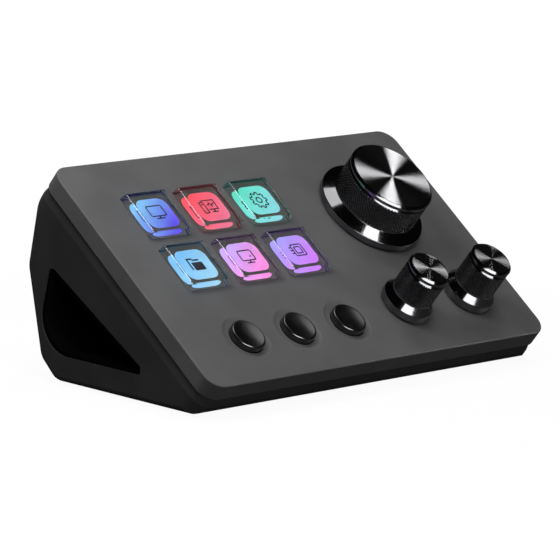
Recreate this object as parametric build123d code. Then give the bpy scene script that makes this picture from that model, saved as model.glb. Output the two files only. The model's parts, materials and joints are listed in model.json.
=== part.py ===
from build123d import *
import os
from math import atan, cos, degrees, radians, sin

os.makedirs("parts", exist_ok=True)

# Sizes are in millimetres and degrees. X runs to the right, Y to the back and Z up. The origin lies on the
# desk, under the middle of the keypad.
# Most pieces are drawn in the face frame: it starts in the middle of the sloping face, its first axis runs
# right, its second up the slope, and its third, whose values are called levels, stands out of the face.

# Case
case_width = 130.0
face_length = 78.2
face_tilt = 37.2
front_edge_height = 8.2      # front edge of the face above the underside
back_skirt = 7.2             # back wall square to the face, before it turns down
back_bulge = 3.4             # furthest-back line behind the end of the back skirt
bulge_drop = 20.9            # furthest-back line below the end of the back skirt
back_lean = 5.9              # how far the lower back wall comes forward again
heel_height = 5.3
heel_run = 5.8
foot_stand = 0.8             # how far the feet hold the case off the desk
wall = 2.2
plate = 2.5                  # thickness of the face plate
side_radius = 5.0            # of the corners seen square to the face
end_radius = 1.5             # along the back and bottom edges of the two ends
toe_radius = 5.4
heel_radius = 5.0
bulge_radius = 6.0
skirt_radius = 2.5
face_edge_radius = 0.5
least_radius = 0.4
cut_reach = 300.0            # longer than anything in the case, for cutting tools
cut_over = 1.0               # how far a cutting tool runs past the face it starts from

# Joint between cover and bottom
seam_level = -5.0
seam_gap = 0.2
shell_bevel_height = 2.8
shell_bevel_inset = 0.6
tongue_thickness = 1.0
tongue_root = 1.2            # how far the tongue's thick root reaches below the seam
fit_gap = 0.1                # between pieces that slot into each other
hook_places = (-40.0, 0.0, 40.0)
hook_width = 8.0
hook_thickness = 1.1
hook_barb_height = 1.1

# Side pockets, on each end of the case
pocket_depth = 12.0
pocket_floor = 6.9           # lower edge above the underside
pocket_front = 20.3          # front edge behind the toe
pocket_nose = 2.3            # height of the short front edge
pocket_peak_inset = 8.8      # top corner in front of the back wall's bulge
pocket_peak_rise = 1.5       # top corner above the bulge
pocket_heel_inset = 4.1      # lower back corner in front of the bulge
pocket_heel_radius = 10.0
pocket_peak_radius = 1.6
pocket_nose_radius = 0.8
pocket_wall = 1.2
pocket_flange = 1.2
pocket_sink = 0.3            # the pocket's rim sits just below the side wall's surface

# Picture keys: three across, two down
key_columns = 3
key_rows = 2
key_grid = (-23.3, 9.2)
key_pitch = (19.0, 18.6)
key_side = 14.7
key_top_side = 14.1
key_height = 2.3
key_corner = 0.3
key_edge = 0.15
key_travel = 1.0
key_window_gap = 0.15
display_side = 12.7
display_level = 0.1
display_thickness = 1.5
display_corner = 0.8
flange_side = 16.4
flange_thickness = 1.0
stem_radius = 1.7
tail_width = 5.0
tail_thickness = 0.3
tail_offset = 5.0            # from the key's centre, up the slope
tail_slack = 0.25

# Round buttons: one row
button_count = 3
button_row = (-23.1, -24.9)
button_pitch = 19.0
button_radius = 4.94
button_height = 1.4
button_rim_radius = 0.45
button_dish = 0.3
button_travel = 0.8
button_flange_radius = 6.0
button_hole_gap = 0.15
dish_radius = 7.25
dish_depth = 0.5
dish_bow = 0.8               # share of the depth reached halfway down the dished slope

# Knobs: grip_radius and flange_radius are the two widths that show
knobs = {
    "big": dict(at=(33.3, 10.7), flange=15.5, grip=12.5, height=13.8, rim=1.8, bevel=1.6, core=8.0),
    "left": dict(at=(20.0, -22.6), flange=7.4, grip=6.05, height=14.4, rim=2.05, bevel=1.85, core=4.3),
    "right": dict(at=(45.1, -22.6), flange=7.4, grip=6.05, height=14.4, rim=2.05, bevel=1.85, core=4.3),
}
knob_lift = 0.6              # flange above the face
knob_press = 0.5
knob_cap = 1.8               # metal left above the hollow
knob_chamfer = 0.6
knob_spun_inset = 0.15
knob_spun_depth = 0.15
knob_groove_depth = 0.6      # its lower side slopes back out to the grip
knob_groove_width = 0.5
knob_collar = 1.2            # plain band between groove and top edge

# Rotary encoders
encoder_side = 12.0
encoder_height = 6.0
encoder_base_height = 2.7
encoder_gap = 0.2            # between encoder and face plate
encoder_floor = 0.6
encoder_corner = 0.4
housing_corner = 0.8
bushing_chamfer = 0.3
bushing_radius = 3.45
bushing_height = 1.4         # above the face
bushing_hole_gap = 0.2
shaft_radius = 2.95
shaft_gap = 0.05
shaft_flat = 1.5             # depth of the D flat
wheel_radius = 4.2
wheel_thickness = 1.0
wheel_room = 0.3
plunger_height = 0.75
insert_gap = 0.02
insert_start = 1.0           # hub insert above the bushing

# Boards and what is on them
board_thickness = 1.6
board_side_margin = 2.7      # from the tongue inside the side walls
board_front_margin = 3.8     # from the tongue inside the front wall
board_back_margin = 1.8
board_corner = 3.0
switch_side = 7.8
switch_clearance = 0.6       # flange above switch when pressed
switch_floor = 0.6
switch_corner = 0.5
switch_chamfer = 0.4
chip_height = 0.9
controller_at = (20.0, 8.0)
controller_size = (9.0, 9.0)
memory_at = (32.0, 8.0)
memory_size = (5.0, 6.0)
regulator_at = (20.0, -4.0)
regulator_size = (6.5, 3.5)
crystal_at = (28.0, 0.0)
crystal_size = (3.2, 2.5)
tail_socket_height = 2.0
tail_socket_size = (7.0, 2.8)
board_screw_inset = 3.5      # outer screws from the board's ends
board_screw_back = 5.0       # back row in front of the board's back edge
board_screw_front = -11.0    # front row, between the keys and the round buttons
board_screw_middle = 9.0     # middle column, between the keys and the knobs
boss_radius = 2.6
board_screw_radius = 1.0
board_screw_bite = 4.0
board_screw_head = (1.9, 1.2)
case_screws = ((-32.6, -31.0), (32.6, -31.0))
case_boss_radius = 3.0
case_boss_length = 8.4
case_screw_radius = 1.25
case_screw_bite = 6.0
case_screw_head = (2.3, 1.5)
screw_edge = 0.3             # head's rounding, as a share of its height
screw_slot = (1.2, 0.28)     # cross slot's length and width, as shares of the head's radius
tower_radius = 4.2
well_radius = 2.7
seat_thickness = 2.1
screw_clearance = 0.2
boss_clearance = 0.4
thread_gap = 0.02

# Underside and back
foot_radius = 6.0
foot_sink = 0.8
foot_chamfer = 0.3
foot_spread = 50.0
front_foot_inset = 11.4      # front feet's centres behind the toe
back_foot_inset = 8.0        # back feet's centres in front of the heel's front edge
ballast_width = 80.0
ballast_length = 23.0
ballast_thickness = 3.0
ballast_corner = 2.0
ballast_gap = 0.7            # behind the screw towers
ballast_pin_radius = 1.5
ballast_pin_head = (2.55, 0.9)
ballast_pin_rounding = 0.4
ballast_pin_spread = 32.0
usb_board_size = (26.0, 15.6)
usb_board_corner = 1.0
usb_board_height = 10.4      # its underside above the case's underside
usb_post_radius = 2.5
usb_post_spread = 9.5
usb_post_inset = 0.5
usb_socket = (8.94, 7.3, 3.26)
usb_shell_wall = 0.3
stadium_corner = 0.48        # corner radius of the socket's flat oval, as a share of its height
usb_tongue = (6.7, 4.6, 0.7)
usb_mouth_depth = 6.2
usb_mouth_inset = 0.6        # socket's mouth in front of the furthest-back line of its pad
usb_pad = (13.0, 7.6)
usb_pad_corner = 2.0
usb_pad_level = 4.8          # pad's face in front of the case's furthest-back line
ribbon_width = 8.0
ribbon_thickness = 0.4
ribbon_bend = 6.0
ribbon_inset = 3.2           # ribbon in front of the socket
ribbon_socket = (10.0, 3.0, 2.4)
ribbon_socket_floor = 0.5

# Side profile, as points of Y and Z. The case's depth follows from the sloping face and the back wall.
uphill = (cos(radians(face_tilt)), sin(radians(face_tilt)))
outward = (-uphill[1], uphill[0])
case_depth = face_length * uphill[0] + back_skirt * uphill[1] + back_bulge


def along(start, direction, distance):
    return (start[0] + direction[0] * distance, start[1] + direction[1] * distance)


face_front = (-case_depth / 2, foot_stand + front_edge_height)
face_back = along(face_front, uphill, face_length)
face_middle = along(face_front, uphill, face_length / 2)
skirt_end = along(face_back, outward, -back_skirt)
bulge = (case_depth / 2, skirt_end[1] - bulge_drop)
heel = (bulge[0] - back_lean, foot_stand + heel_height)
heel_front = (heel[0] - heel_run, foot_stand)
toe = along(face_front, outward, -front_edge_height / uphill[0])
face_place = Plane(
    origin=(0, *face_middle), x_dir=(1, 0, 0), z_dir=(0, *outward)
).location

# Levels of the pieces under the face, and the board's outline there
seam_top = seam_level - seam_gap
bevel_level = seam_top - shell_bevel_height
case_seat_top = -plate - case_boss_length
well_top = case_seat_top - seat_thickness
flange_top = -plate - fit_gap
flange_bottom = flange_top - flange_thickness
board_top = -plate - encoder_gap - encoder_height
board_bottom = board_top - board_thickness
key_switch_top = flange_bottom - key_travel - switch_clearance
button_switch_top = flange_bottom - button_travel - switch_clearance
tongue_inside = wall + fit_gap + tongue_thickness
tongue_top = -tongue_inside - fit_gap
tongue_bottom = seam_level - tongue_root
hook_low = tongue_bottom - fit_gap - hook_barb_height
board_width = case_width - 2 * (tongue_inside + board_side_margin)
board_front = face_length / 2 - tongue_inside - board_front_margin
board_back = face_length / 2 - tongue_inside - board_back_margin
board_screw_ends = board_width / 2 - board_screw_inset
board_screws = [
    (column, row)
    for row in (board_back - board_screw_back, board_screw_front)
    for column in (-board_screw_ends, board_screw_middle, board_screw_ends)
]
board_screw_length = board_thickness + board_screw_bite - fit_gap
split_level = board_top + encoder_base_height
wheel_low = split_level + wheel_room
shaft_low = wheel_low - knob_press - plunger_height
inside_floor = foot_stand + wall


# Shapes shared by many pieces

def on_face(shape):
    return face_place * shape


def rod(radius, low, high, at=(0.0, 0.0)):
    return Pos(*at, (low + high) / 2) * Cylinder(radius, high - low)


def block(width, length, low, high, at=(0.0, 0.0), corner=0.0):
    outline = RectangleRounded(width, length, corner) if corner else Rectangle(width, length)
    return extrude(Pos(*at, low) * outline, amount=high - low)


def all_on_face(shapes):
    return [on_face(shape) for shape in shapes]


def level_slab(low, high):
    return on_face(block(cut_reach, cut_reach, low, high))


def case_form(inset):
    """The case's outer form, or the same form drawn in by a wall."""
    corners = [face_front, face_back, skirt_end, bulge, heel, heel_front, toe]
    radii = [0, 0, skirt_radius, bulge_radius, heel_radius, heel_radius, toe_radius]
    profile = make_face(FilletPolyline(*corners, radius=radii, close=True))
    if inset:
        profile = offset(profile, -inset, kind=Kind.INTERSECTION)
    form = extrude(Plane.YZ * profile, amount=case_width / 2 - inset, both=True)
    ends = form.faces().sort_by(Axis.X)
    end_edges = [edge for end in (ends[0], ends[-1]) for edge in end.edges().sort_by(SortBy.LENGTH)[:-1]]
    form = fillet(end_edges, max(end_radius - inset, least_radius))
    corner = max(side_radius - inset, least_radius)
    seen_square = block(case_width - 2 * inset, face_length - 2 * inset, -cut_reach, plate, corner=corner)
    return form & on_face(seen_square)


def key_places():
    return [
        (
            key_grid[0] + key_pitch[0] * (column - (key_columns - 1) / 2),
            key_grid[1] + key_pitch[1] * ((key_rows - 1) / 2 - row),
        )
        for row in range(key_rows)
        for column in range(key_columns)
    ]


def button_places():
    return [
        (button_row[0] + button_pitch * (index - (button_count - 1) / 2), button_row[1])
        for index in range(button_count)
    ]


def screw(head_size, shank_radius, length):
    """A pan-head screw along Z: its head is below 0 and its shank above."""
    head_radius, head_height = head_size
    head = rod(head_radius, -head_height, 0)
    head = fillet(head.edges().group_by(Axis.Z)[0], head_height * screw_edge)
    shank = rod(shank_radius, 0, length)
    slot = Box(head_radius * screw_slot[0], head_radius * screw_slot[1], head_height)
    cross = slot + Rot(0, 0, 90) * slot
    return head + shank - Pos(0, 0, -head_height) * cross


# Case

def cover():
    skirt = outer_form & level_slab(seam_level, plate)
    shape = skirt - (inner_form & level_slab(-cut_reach, -plate))
    rim = shape.faces().sort_by(Axis((0, 0, 0), (0, *outward)))[-1].outer_wire().edges()
    shape = fillet(rim, face_edge_radius)
    bosses = [rod(boss_radius, board_top, -plate, at) for at in board_screws]
    bosses += [rod(case_boss_radius, case_seat_top, -plate, at) for at in case_screws]
    bosses += [block(hook_width, hook_thickness, hook_low, -plate, at) for at in hooks()]
    shape += all_on_face(bosses) + [hook_barb(at) for at in hooks()]
    return shape - all_on_face(cover_cuts())


def hooks():
    """Where the back edge's snap hooks stand, just in front of the bottom's tongue."""
    line = face_length / 2 - tongue_inside - fit_gap - hook_thickness / 2
    return [(place, line) for place in hook_places]


def hook_barb(at):
    barb = block(hook_width, tongue_thickness, hook_low, hook_low + hook_barb_height,
                 (at[0], at[1] + (hook_thickness + tongue_thickness) / 2))
    return on_face(barb) & hook_room


def cover_cuts():
    key_window = key_side + 2 * key_window_gap
    cuts = [block(key_window, key_window, -plate * 2, plate, at, key_corner + key_window_gap)
            for at in key_places()]
    cuts += [rod(button_radius + button_hole_gap, -plate * 2, plate, at) for at in button_places()]
    cuts += [Pos(*at, 0) * dish() for at in button_places()]
    cuts += [rod(bushing_radius + bushing_hole_gap, -plate * 2, plate, knob["at"])
             for knob in knobs.values()]
    cuts += [pilot(board_screw_radius, board_top, board_screw_bite, at) for at in board_screws]
    cuts += [pilot(case_screw_radius, case_seat_top, case_screw_bite, at) for at in case_screws]
    return cuts


def pilot(screw_radius, boss_end, bite, at):
    """The blind hole a screw cuts its thread in, up into a boss."""
    return rod(screw_radius + thread_gap, boss_end - cut_over, boss_end + bite, at)


def dish():
    """The shallow hollow ring round a button, as the solid that is cut away."""
    hole_radius = button_radius + button_hole_gap
    edge, low = (dish_radius, 0), (hole_radius, -dish_depth)
    middle = ((dish_radius + hole_radius) / 2, -dish_depth * dish_bow)
    section = Polyline(low, (0, -dish_depth), (0, plate), (dish_radius, plate), edge)
    return revolve(Plane.XZ * make_face([section, ThreePointArc(edge, middle, low)]), axis=Axis.Z)


def bottom():
    shell = outer_form & (level_slab(-cut_reach, bevel_level) + bevel_band())
    shell -= inner_form
    ring = case_form(wall + fit_gap) - case_form(tongue_inside)
    root = case_form(wall / 2) - case_form(tongue_inside)
    shell += ring & level_slab(seam_top, tongue_top)
    shell += root & level_slab(tongue_bottom, seam_top)
    shell += [screw_tower(at) for at in case_screws]
    shell += [Pos(side * usb_post_spread, usb_post_line, 0) * usb_post() for side in (-1, 1)]
    shell += [Pos(side * ballast_pin_spread, ballast_middle, 0) * ballast_pin() for side in (-1, 1)]
    shell -= all_on_face(rod(well_radius, -cut_reach, well_top, at) for at in case_screws)
    shell -= all_on_face(rod(case_screw_radius + screw_clearance, well_top, 0, at) for at in case_screws)
    shell -= [Pos(*at, 0) * Cylinder(foot_radius + fit_gap, 2 * (foot_stand + foot_sink))
              for at in foot_places()]
    shell -= [window_cut(side) for side in (-1, 1)]
    return shell - usb_cut()


def bevel_band():
    """The upper edge of the bottom shell, drawn in towards the seam."""
    base = Pos(0, 0, bevel_level) * RectangleRounded(case_width, face_length, side_radius)
    lean = degrees(atan(shell_bevel_inset / shell_bevel_height))
    return on_face(extrude(base, amount=shell_bevel_height, taper=lean))


def screw_tower(at):
    return on_face(rod(tower_radius, -cut_reach, case_seat_top, at)) & outer_form


def tower_back_line():
    """How far back the leaning screw towers reach where they meet the inside floor."""
    start = along(face_middle, uphill, case_screws[0][1])
    foot = along(start, outward, (inside_floor - start[1]) / outward[1])
    return foot[0] + tower_radius / outward[1]


tower_back = tower_back_line()


def foot_places():
    lines = (toe[0] + front_foot_inset, heel_front[0] - back_foot_inset)
    return [(x, y) for y in lines for x in (-foot_spread, foot_spread)]


def rubber_feet():
    foot = Cylinder(foot_radius, foot_stand + foot_sink)
    foot = chamfer(foot.edges().group_by(Axis.Z)[0], foot_chamfer)
    return Compound(children=[Pos(*at, (foot_stand + foot_sink) / 2) * foot for at in foot_places()])


def pocket_outline(grow=0.0):
    """The pocket's triangle on the side of the case, in Y and Z."""
    low = foot_stand + pocket_floor
    front = toe[0] + pocket_front
    corners = [
        (front, low),
        (front, low + pocket_nose),
        (bulge[0] - pocket_peak_inset, bulge[1] + pocket_peak_rise),
        (bulge[0] - pocket_heel_inset, low),
    ]
    radii = [pocket_nose_radius, pocket_nose_radius, pocket_peak_radius, pocket_heel_radius]
    outline = make_face(FilletPolyline(*corners, radius=radii, close=True))
    return offset(outline, grow, kind=Kind.INTERSECTION) if grow else outline


def side_prism(outline, start, end, side):
    """A YZ outline made solid between two distances from the middle, on one side of the case."""
    face = Plane.YZ.offset(start) * outline
    prism = extrude(face, amount=end - start)
    return prism if side > 0 else mirror(prism, about=Plane.YZ)


def window_cut(side):
    return side_prism(pocket_outline(), case_width / 2 - 2 * wall, case_width, side)


def side_pocket(side):
    """A black cup that closes the window in one side wall."""
    mouth = case_width / 2 - pocket_sink
    deep = case_width / 2 - pocket_depth
    flange_face = case_width / 2 - wall
    sleeve = side_prism(pocket_outline(-fit_gap), deep - pocket_wall, mouth, side)
    flange = side_prism(pocket_outline(pocket_flange), flange_face - pocket_flange, flange_face, side)
    hollow = side_prism(pocket_outline(-fit_gap - pocket_wall), deep, case_width, side)
    return sleeve + (flange & pocket_room) - hollow


# Picture keys

def key_cap():
    foot = block(key_side, key_side, flange_top, 0, corner=key_corner)
    lean = degrees(atan((key_side - key_top_side) / 2 / key_height))
    head = extrude(RectangleRounded(key_side, key_side, key_corner), amount=key_height, taper=lean)
    cap = foot + head
    cap = fillet(cap.faces().sort_by(Axis.Z)[-1].edges(), key_edge)
    room = display_side + 2 * fit_gap
    return cap - block(room, room, flange_top - cut_over, display_level, corner=display_corner + fit_gap)


def key_display():
    """The lit display in the cap, with its flat tail hanging straight down."""
    low = display_level - display_thickness
    panel = block(display_side, display_side, low, display_level, corner=display_corner)
    tail_end = board_bottom - tail_socket_height / 2 + key_travel / 2
    return panel + block(tail_width, tail_thickness, tail_end, low, (0, tail_offset))


def key_carrier():
    boss = block(display_side, display_side, flange_top, display_level - display_thickness,
                 corner=display_corner)
    flange = block(flange_side, flange_side, flange_bottom, flange_top, corner=key_corner)
    stem = rod(stem_radius, board_top + switch_floor + key_travel + fit_gap, flange_bottom)
    return boss + flange + stem - tail_slot(flange_bottom - cut_over, 0)


def tail_slot(low, high):
    width, length = tail_width + 2 * tail_slack, tail_thickness + 2 * tail_slack
    return block(width, length, low, high, (0, tail_offset))


def switches(places, top):
    """Switch housings on the main board, each with a blind hole for its stem."""
    body = block(switch_side, switch_side, board_top, top, corner=switch_corner)
    body = chamfer(body.edges().group_by(Axis.Z)[-1], switch_chamfer)
    body -= rod(stem_radius + shaft_gap, board_top + switch_floor, 0)
    return Compound(children=[Pos(*at, 0) * body for at in places])


# Round buttons

def button():
    """One piece: a glossy cap with a hollowed top, a flange and a stem."""
    cap = rod(button_radius, flange_top, button_height)
    cap = fillet(cap.edges().group_by(Axis.Z)[-1], button_rim_radius)
    inner = button_radius - button_rim_radius
    ball = (inner ** 2 + button_dish ** 2) / (2 * button_dish)
    cap -= Pos(0, 0, button_height + ball - button_dish) * Sphere(ball)
    flange = rod(button_flange_radius, flange_bottom, flange_top)
    stem = rod(stem_radius, board_top + switch_floor + button_travel + fit_gap, flange_bottom)
    return cap + flange + stem


# Knobs and encoders

def knob_shell(knob):
    """The turned metal knob: flange, bevel, grip, groove and a spun top, hollow from below."""
    top, grip, base = knob["height"], knob["grip"], knob_lift
    groove_top = top - knob_collar
    groove_low = groove_top - knob_groove_width
    outline = [
        (0, top - knob_spun_depth),
        (grip - knob_chamfer - knob_spun_inset, top - knob_spun_depth),
        (grip - knob_chamfer - knob_spun_inset, top),
        (grip - knob_chamfer, top),
        (grip, top - knob_chamfer),
        (grip, groove_top),
        (grip - knob_groove_depth, groove_top),
        (grip - knob_groove_depth, groove_low),
        (grip, groove_low - knob_groove_depth),
        (grip, base + knob["rim"] + knob["bevel"]),
        (knob["flange"], base + knob["rim"]),
        (knob["flange"], base),
        (knob["core"], base),
        (knob["core"], top - knob_cap),
        (0, top - knob_cap),
    ]
    return revolve(Plane.XZ * make_face(Polyline(*outline, close=True)), axis=Axis.Z)


def d_bar(radius, low, high):
    return rod(radius, low, high) & Pos(-shaft_flat, 0, 0) * block(2 * radius, 2 * radius, low, high)


def hub_insert(knob):
    """The plastic core that grips the encoder's flatted shaft."""
    low = bushing_height + insert_start
    core = rod(knob["core"], low, knob["height"] - knob_cap)
    return core - d_bar(shaft_radius + insert_gap, low - cut_over, knob["height"] - knob_cap)


def encoder_base():
    base = block(encoder_side, encoder_side, board_top, split_level, corner=encoder_corner)
    well = rod(shaft_radius + shaft_gap, board_top + encoder_floor, split_level)
    dip = rod(wheel_radius + wheel_room, split_level - knob_press, split_level)
    return base - well - dip


def encoder_bushing():
    """The metal housing with the bushing that comes up through the face."""
    house = block(encoder_side, encoder_side, split_level, board_top + encoder_height, corner=housing_corner)
    house += rod(bushing_radius, board_top + encoder_height, bushing_height)
    house = chamfer(house.edges().group_by(Axis.Z)[-1], bushing_chamfer)
    room = rod(wheel_radius + wheel_room, split_level, wheel_low + wheel_thickness + wheel_room)
    return house - room - rod(shaft_radius + shaft_gap, split_level, bushing_height + cut_over)


def encoder_shaft(knob):
    end = knob["height"] - knob_cap - wheel_room
    flat_start = bushing_height + insert_start
    shaft = rod(shaft_radius, shaft_low + plunger_height + insert_gap, flat_start)
    shaft += rod(wheel_radius, wheel_low, wheel_low + wheel_thickness)
    return shaft + d_bar(shaft_radius, flat_start, end)


def encoder_plunger():
    return rod(shaft_radius, shaft_low, shaft_low + plunger_height)


# Boards

def main_board():
    middle = (board_back - board_front) / 2
    length = board_front + board_back
    board = block(board_width, length, board_bottom, board_top, (0, middle), board_corner)
    low, high = board_bottom - cut_over, board_top + cut_over
    holes = [rod(board_screw_radius + screw_clearance, low, high, at) for at in board_screws]
    holes += [rod(case_boss_radius + boss_clearance, low, high, at) for at in case_screws]
    holes += [Pos(*at, 0) * tail_slot(low, high) for at in key_places()]
    return board - holes


def tail_sockets():
    """Sockets under the board, each with a mouth for one display's tail."""
    low = board_bottom - tail_socket_height
    body = block(*tail_socket_size, low, board_bottom)
    body -= block(tail_width + 2 * fit_gap, tail_thickness + 2 * fit_gap, low - cut_over, board_bottom)
    return Compound(children=[Pos(at[0], at[1] + tail_offset, 0) * body for at in key_places()])


def chips():
    """The controller, its memory, a voltage regulator and a crystal, under the main board."""
    low = board_bottom - chip_height
    chip_set = [
        (controller_size, controller_at),
        (memory_size, memory_at),
        (regulator_size, regulator_at),
        (crystal_size, crystal_at),
    ]
    return Compound(children=[block(*size, low, board_bottom, at) for size, at in chip_set])


def board_screw_set():
    pin = screw(board_screw_head, board_screw_radius, board_screw_length)
    return Compound(children=[Pos(*at, board_bottom) * pin for at in board_screws])


def case_screw_set():
    pin = screw(case_screw_head, case_screw_radius, seat_thickness + case_screw_bite - fit_gap)
    return Compound(children=[Pos(*at, well_top) * pin for at in case_screws])


# Underside: ballast, connector board and its ribbon, in the case's own frame

ballast_middle = tower_back + ballast_gap + ballast_length / 2


def ballast_plate():
    plate_top = inside_floor + ballast_thickness
    shape = block(ballast_width, ballast_length, inside_floor, plate_top, corner=ballast_corner)
    holes = [rod(ballast_pin_radius + fit_gap, 0, plate_top + cut_over, (side * ballast_pin_spread, 0))
             for side in (-1, 1)]
    return Pos(0, ballast_middle, 0) * (shape - holes)


def ballast_pin():
    """A plastic pin whose melted head holds the ballast down."""
    top = inside_floor + ballast_thickness + fit_gap
    head_radius, head_height = ballast_pin_head
    head = rod(head_radius, top, top + head_height)
    head = fillet(head.edges().group_by(Axis.Z)[-1], ballast_pin_rounding)
    return rod(ballast_pin_radius, inside_floor - wall / 2, top) + head


usb_underside = foot_stand + usb_board_height
usb_top = usb_underside + board_thickness
usb_middle = usb_top + usb_socket[2] / 2
usb_pad_line = bulge[0] - usb_pad_level
usb_mouth_line = usb_pad_line - usb_mouth_inset
usb_board_back = usb_mouth_line - usb_mouth_inset - wall
usb_post_line = usb_board_back - usb_board_size[1] + usb_post_radius + usb_post_inset


def usb_post():
    post = rod(usb_post_radius, inside_floor - wall / 2, usb_underside)
    return post - rod(board_screw_radius + thread_gap, usb_underside - board_screw_bite, usb_underside)


def usb_board():
    middle = usb_board_back - usb_board_size[1] / 2
    board = block(*usb_board_size, usb_underside, usb_top, (0, middle), usb_board_corner)
    hole = rod(board_screw_radius + screw_clearance, usb_underside - cut_over, usb_top + cut_over)
    return board - [Pos(side * usb_post_spread, usb_post_line, 0) * hole for side in (-1, 1)]


def usb_screws():
    pin = Rot(180, 0, 0) * screw(board_screw_head, board_screw_radius, board_screw_length)
    places = [Pos(side * usb_post_spread, usb_post_line, usb_top) for side in (-1, 1)]
    return Compound(children=[place * pin for place in places])


def stadium_bar(width, height, start, end):
    """A bar along Y with a flat-oval section, centred on the socket's axis."""
    section = Plane.XZ * RectangleRounded(width, height, height * stadium_corner)
    return Pos(0, end, usb_middle) * extrude(section, amount=end - start)


def usb_socket_body():
    width, length, height = usb_socket
    end = usb_mouth_line - usb_mouth_depth
    shell = stadium_bar(width, height, usb_mouth_line - length, usb_mouth_line)
    inner_width, inner_height = width - 2 * usb_shell_wall, height - 2 * usb_shell_wall
    mouth = stadium_bar(inner_width, inner_height, end, usb_mouth_line + cut_over)
    return shell - mouth + Pos(0, end + usb_tongue[1] / 2, usb_middle) * Box(*usb_tongue)


def usb_cut():
    """The flat pad in the back wall and the hole for the socket."""
    outline = Plane.XZ * RectangleRounded(*usb_pad, usb_pad_corner)
    pad = Pos(0, usb_pad_line, usb_middle) * extrude(outline, amount=-cut_reach)
    width, height = usb_socket[0] + 2 * fit_gap, usb_socket[2] + 2 * fit_gap
    return pad + stadium_bar(width, height, usb_board_back - wall, usb_pad_line + cut_over)


ribbon_line = usb_mouth_line - usb_socket[1] - ribbon_inset


def ribbon_route():
    """Straight up from the connector board, one bend, then square into the main board."""
    start = (ribbon_line, usb_top + ribbon_socket[2] / 2)
    level = board_bottom - ribbon_socket[2] / 2
    under_board = along(face_middle, outward, level)
    bend = (ribbon_line, (start[1] + under_board[1]) / 2)
    gap = (under_board[0] - bend[0]) * outward[0] + (under_board[1] - bend[1]) * outward[1]
    return start, bend, along(bend, outward, gap)


def ribbon():
    start, bend, end = ribbon_route()
    path = FilletPolyline(start, bend, end, radius=[ribbon_bend])
    strip = trace(path, ribbon_thickness)
    return extrude(Plane.YZ * strip, amount=ribbon_width / 2, both=True)


def ribbon_sockets():
    width, length, height = ribbon_socket
    room_width, room_length = ribbon_width + 2 * fit_gap, ribbon_thickness + 2 * fit_gap
    socket = block(width, length, 0, height)
    socket -= block(room_width, room_length, ribbon_socket_floor, height + cut_over)
    end = ribbon_route()[2]
    uphill_place = (end[0] - face_middle[0]) * uphill[0] + (end[1] - face_middle[1]) * uphill[1]
    lower = Pos(0, ribbon_line, usb_top) * socket
    upper = on_face(Pos(0, uphill_place, board_bottom) * Rot(180, 0, 0) * socket)
    return Compound(children=[lower, upper])


# Build and write every node

outer_form = case_form(0)
inner_form = case_form(wall)
hook_room = case_form(wall + fit_gap)
pocket_room = case_form(wall)

nodes = {
    "top_cover": cover(),
    "bottom_shell": bottom(),
    "side_pocket_left": side_pocket(-1),
    "side_pocket_right": side_pocket(1),
    "rubber_feet": rubber_feet(),
    "ballast_plate": ballast_plate(),
    "usb_board": usb_board(),
    "usb_board_screws": usb_screws(),
    "usb_c_socket": usb_socket_body(),
    "board_ribbon": ribbon(),
    "ribbon_sockets": ribbon_sockets(),
}

face_nodes = {
    "main_board": main_board(),
    "board_screws": board_screw_set(),
    "case_screws": case_screw_set(),
    "board_chips": chips(),
    "display_tail_sockets": tail_sockets(),
    "key_switches": switches(key_places(), key_switch_top),
    "button_switches": switches(button_places(), button_switch_top),
}
for number, at in enumerate(key_places(), 1):
    face_nodes[f"key_cap_{number}"] = Pos(*at, 0) * key_cap()
    face_nodes[f"key_display_{number}"] = Pos(*at, 0) * key_display()
    face_nodes[f"key_carrier_{number}"] = Pos(*at, 0) * key_carrier()
for number, at in enumerate(button_places(), 1):
    face_nodes[f"button_{number}"] = Pos(*at, 0) * button()
for name, knob in knobs.items():
    place = Pos(*knob["at"], 0)
    face_nodes[f"{name}_knob"] = place * knob_shell(knob)
    face_nodes[f"{name}_hub_insert"] = place * hub_insert(knob)
    face_nodes[f"{name}_encoder_shaft"] = place * encoder_shaft(knob)
    face_nodes[f"{name}_encoder_plunger"] = place * encoder_plunger()
    face_nodes[f"{name}_encoder_bushing"] = place * encoder_bushing()
    face_nodes[f"{name}_encoder_base"] = place * encoder_base()
nodes.update({name: on_face(shape) for name, shape in face_nodes.items()})

for name, shape in nodes.items():
    export_step(shape, f"parts/{name}.step")
print(f"{len(nodes)} nodes written, case {case_width:.1f} x {case_depth:.1f} mm")
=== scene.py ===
import json
import math

import bmesh
import bpy
from mathutils import Matrix, Vector

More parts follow.
